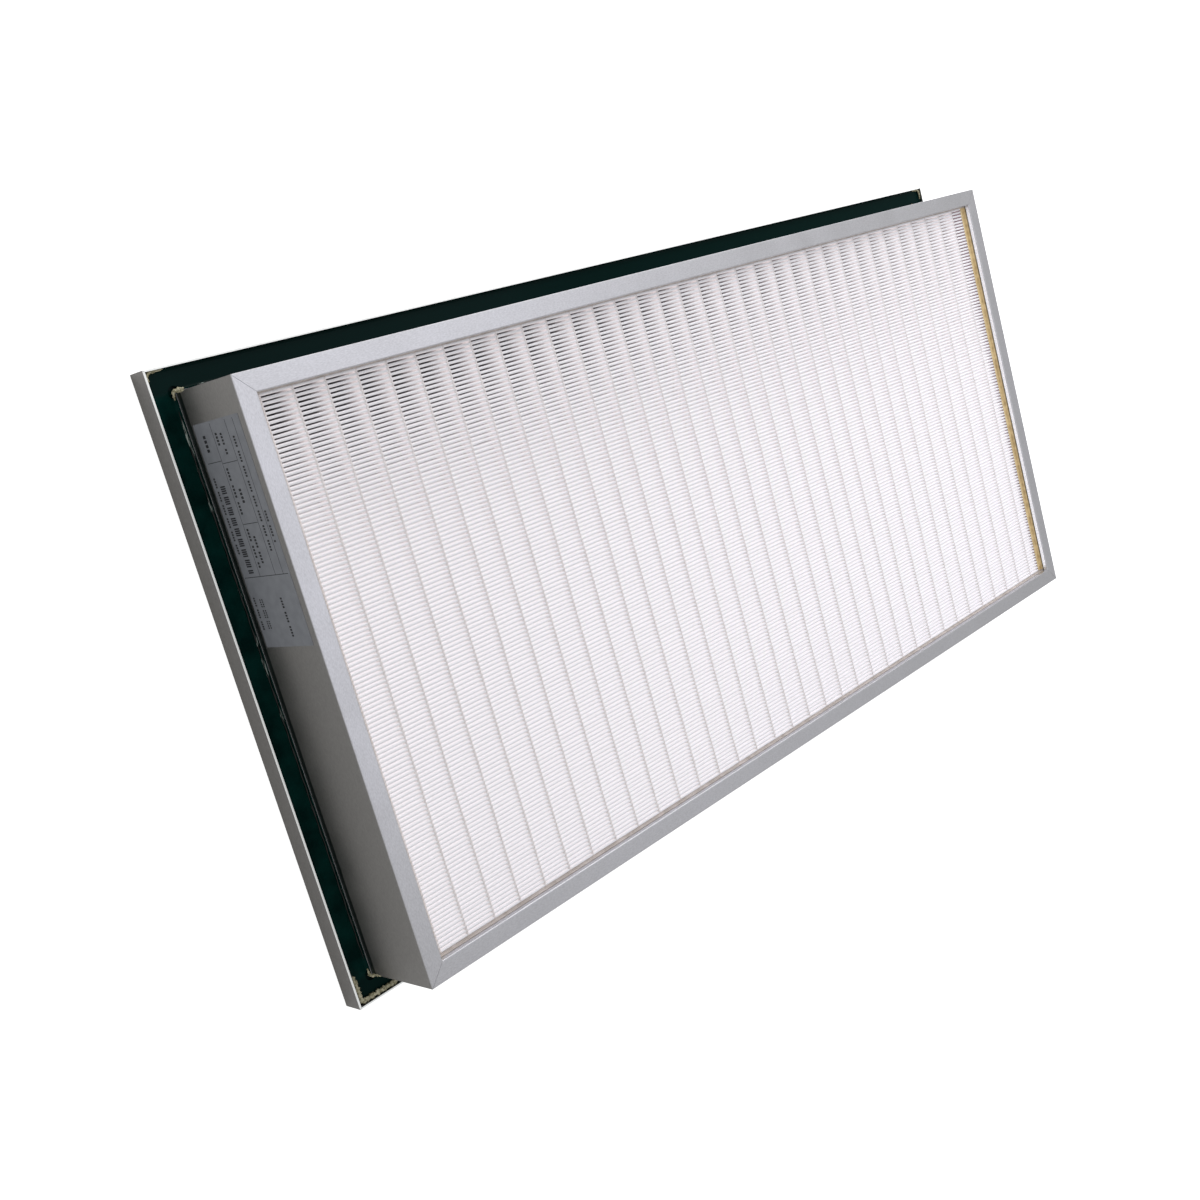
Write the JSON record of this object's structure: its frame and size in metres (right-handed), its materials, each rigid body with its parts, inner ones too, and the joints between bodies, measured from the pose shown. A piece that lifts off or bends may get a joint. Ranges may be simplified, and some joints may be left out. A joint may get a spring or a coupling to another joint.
{
  "type": "hepa filter panel",
  "caption": "Rectangular mini-pleat air filter panel in a mitred aluminium frame, with a gel-filled sealing channel around its foot",
  "frame": {"origin": "middle of the rear face, on the floor under the panel", "axes": "X along the long side, Y along the short side, Z from the rear face up to the pleated front"},
  "size_m": [1.219, 0.61, 0.1195],
  "materials": {
    "frame": "satin anodised",
    "media": "matt glass-fibre paper",
    "bead": "hot-melt glue",
    "potting": "cast polyurethane",
    "gel": "glossy soft gel",
    "label": "satin foil",
    "sealant": "satin cured sealant"
  },
  "bodies": {
    "root": {"frame_right": "frame", "frame_top": "frame", "frame_left": "frame", "frame_bottom": "frame", "corner_key_top_right": "frame", "corner_key_top_left": "frame", "corner_key_bottom_left": "frame", "corner_key_bottom_right": "frame", "potting": "potting", "pleat_pack": "media", "separator_bead_01": "bead", "separator_bead_02": "bead", "separator_bead_03": "bead", "separator_bead_04": "bead", "separator_bead_05": "bead", "separator_bead_06": "bead", "separator_bead_07": "bead", "separator_bead_08": "bead", "separator_bead_09": "bead", "separator_bead_10": "bead", "separator_bead_11": "bead", "separator_bead_12": "bead", "separator_bead_13": "bead", "separator_bead_14": "bead", "separator_bead_15": "bead", "separator_bead_16": "bead", "separator_bead_17": "bead", "separator_bead_18": "bead", "separator_bead_19": "bead", "separator_bead_20": "bead", "separator_bead_21": "bead", "separator_bead_22": "bead", "separator_bead_23": "bead", "separator_bead_24": "bead", "separator_bead_25": "bead", "separator_bead_26": "bead", "separator_bead_27": "bead", "separator_bead_28": "bead", "separator_bead_29": "bead", "separator_bead_30": "bead", "separator_bead_31": "bead", "separator_bead_32": "bead", "separator_bead_33": "bead", "separator_bead_34": "bead", "leg_sealant_top_right": "sealant", "wall_sealant_top_right": "sealant", "leg_sealant_top_left": "sealant", "wall_sealant_top_left": "sealant", "leg_sealant_bottom_left": "sealant", "wall_sealant_bottom_left": "sealant", "leg_sealant_bottom_right": "sealant", "wall_sealant_bottom_right": "sealant", "gel": "gel", "side_label": "label"}
  },
  "joints": []
}
